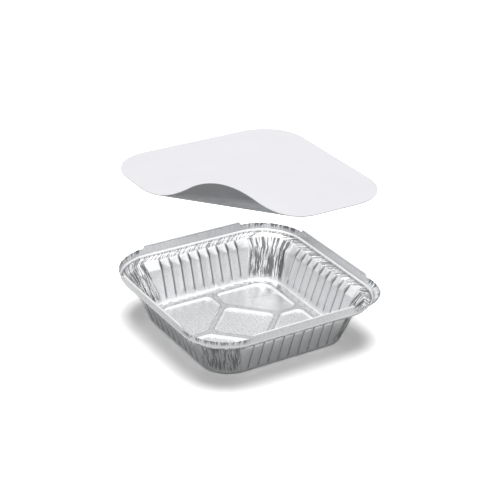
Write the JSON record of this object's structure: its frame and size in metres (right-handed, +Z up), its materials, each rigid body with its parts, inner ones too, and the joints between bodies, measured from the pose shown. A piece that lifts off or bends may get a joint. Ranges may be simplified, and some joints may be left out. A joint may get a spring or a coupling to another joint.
{
  "type": "foil food container with lid",
  "caption": "Square pressed aluminium foil food tray with ribbed sloping walls, a ledge and lip, and a laminated card lid with one corner peeled up.",
  "frame": {"origin": "centre of the tray's footprint on the surface that it stands on", "axes": "+Z up; the tray's sides lie along X and Y; the lid's peeled corner is the one at -X -Y"},
  "size_m": [0.2014, 0.2014, 0.1902],
  "materials": {
    "foil": "bright pressed foil, satin in the walls",
    "card": "white coated card with a silver laminated underside"
  },
  "bodies": {
    "tray": {"foil_tray": "foil"},
    "lid": {"board_lid": "card"}
  },
  "joints": [
    {"name": "lid_lift", "type": "slide", "parent": "tray", "child": "lid", "axis": [0, 0, 1], "range_m": [-0.1115, 0]}
  ]
}
